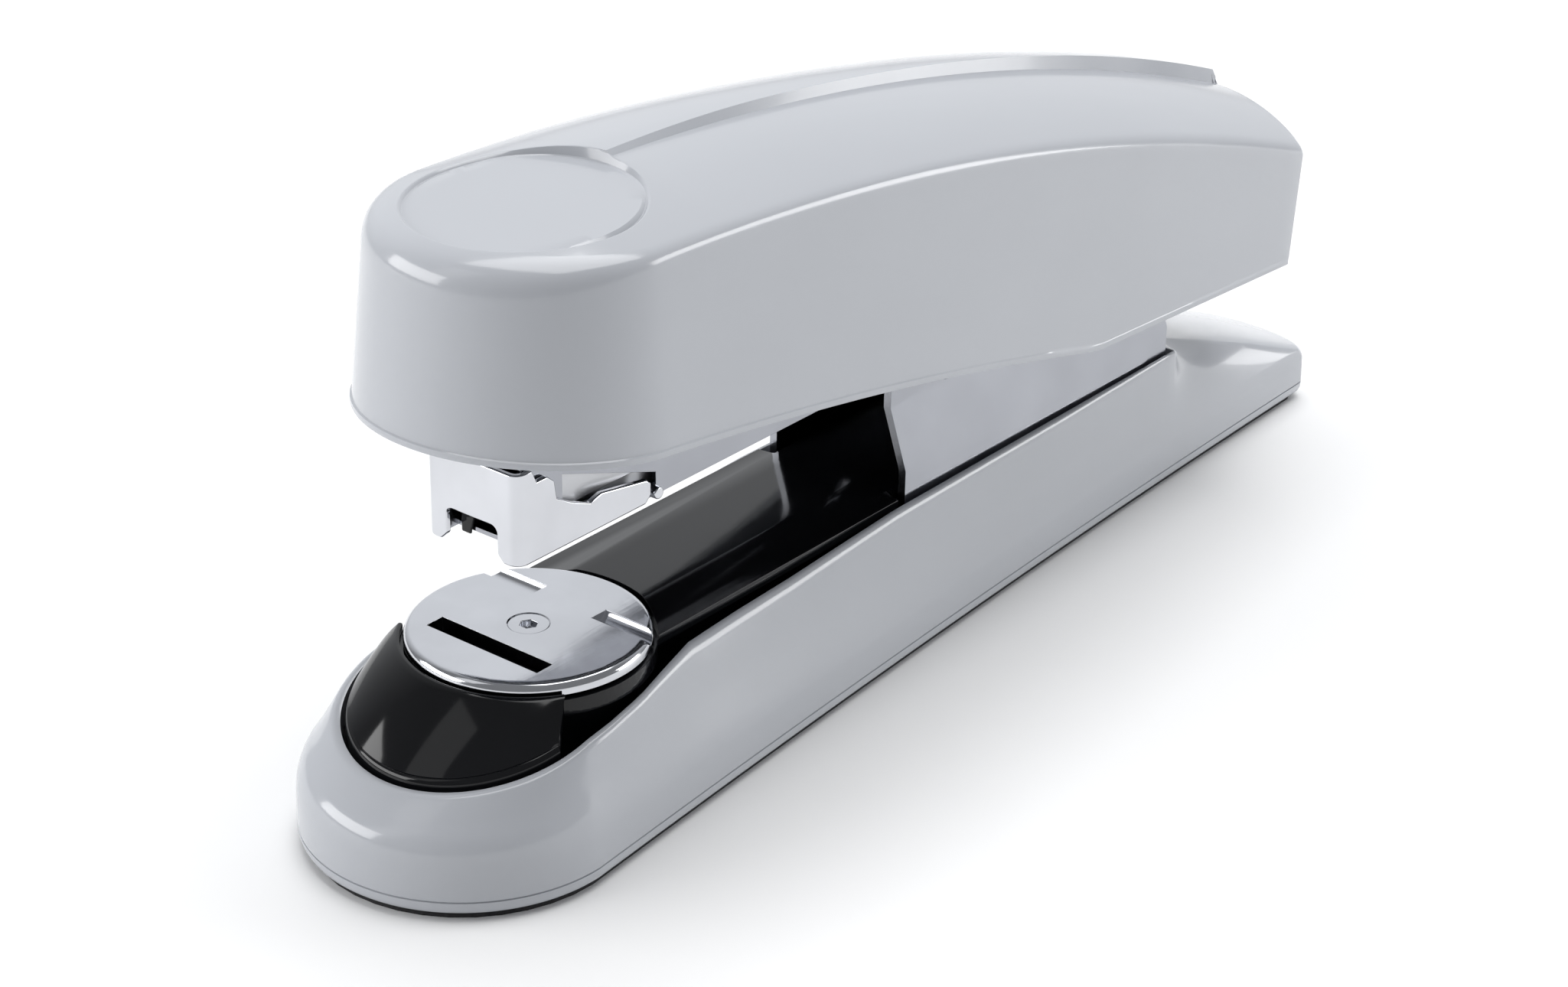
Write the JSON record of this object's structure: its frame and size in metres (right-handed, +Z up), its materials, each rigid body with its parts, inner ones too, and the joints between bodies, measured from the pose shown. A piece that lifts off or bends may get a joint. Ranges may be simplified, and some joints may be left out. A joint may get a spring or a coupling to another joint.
{
  "type": "stapler",
  "caption": "Desk stapler with a long rounded cover and thumb pad, a chrome magazine on a hinge frame, and a round anvil disc on a dipping black arm over a tapered base.",
  "frame": {"origin": "under the middle of the base, on the surface the stapler stands on", "axes": "X runs across the stapler, Y from its nose (-Y) to its tail (+Y), Z up"},
  "size_m": [0.0422, 0.202, 0.0806],
  "materials": {
    "shell_grey": "glossy light grey plastic",
    "black_gloss": "glossy black plastic",
    "sole": "matt black rubber",
    "chrome": "bright plated sheet",
    "plain_steel": "plain zinc-plated steel",
    "spring_steel": "drawn spring wire"
  },
  "bodies": {
    "base": {"base_shell": "shell_grey", "base_plate": "plain_steel", "base_sole": "sole", "base_screws": "plain_steel", "lower_frame": "chrome", "frame_rivets": "plain_steel", "hinge_pin": "plain_steel", "hinge_clips": "plain_steel", "arm_pin": "plain_steel", "clincher": "plain_steel", "arm_spring": "spring_steel", "head_spring": "spring_steel"},
    "arm": {"anvil_arm": "black_gloss", "anvil_collar": "black_gloss", "disc_screw": "chrome", "disc_washer": "plain_steel"},
    "disc": {"anvil_disc": "chrome"},
    "magazine": {"magazine_channel": "chrome", "nose_plate": "chrome", "staple_guide": "black_gloss", "staple_rail": "plain_steel", "pusher_rod": "plain_steel", "pusher_spring": "spring_steel", "nose_pin": "chrome"},
    "pusher": {"staple_pusher": "plain_steel"},
    "cover": {"top_cover": "shell_grey", "lever_frame": "plain_steel", "driver_blade": "plain_steel", "driver_rivets": "plain_steel", "lever_spring": "spring_steel", "cover_screws": "plain_steel"}
  },
  "joints": [
    {"name": "head_hinge", "type": "hinge", "parent": "base", "child": "magazine", "pos_m": [0, 0.047, 0.04], "axis": [1, 0, 0], "range_deg": [0, 6], "stiffness_Nm_per_rad": 0.8, "springref_deg": -28.65, "deforming": ["head_spring"]},
    {"name": "cover_hinge", "type": "hinge", "parent": "magazine", "child": "cover", "pos_m": [0, 0.047, 0.04], "axis": [1, 0, 0], "range_deg": [-24, 5.2], "stiffness_Nm_per_rad": 1.5, "springref_deg": -1.15, "deforming": ["lever_spring"]},
    {"name": "arm_dip", "type": "hinge", "parent": "base", "child": "arm", "pos_m": [0, 0.041, 0.013], "axis": [1, 0, 0], "range_deg": [0, 1], "stiffness_Nm_per_rad": 2, "springref_deg": -5.73, "deforming": ["arm_spring"]},
    {"name": "disc_turn", "type": "hinge", "parent": "arm", "child": "disc", "pos_m": [0, -0.069, 0.0229], "axis": [0, 0, 1], "range_deg": [0, 180]},
    {"name": "pusher_slide", "type": "slide", "parent": "magazine", "child": "pusher", "axis": [0, 1, 0], "range_m": [0, 0.084], "stiffness_N_per_m": 20, "springref_m": -0.15, "deforming": ["pusher_spring"]}
  ]
}
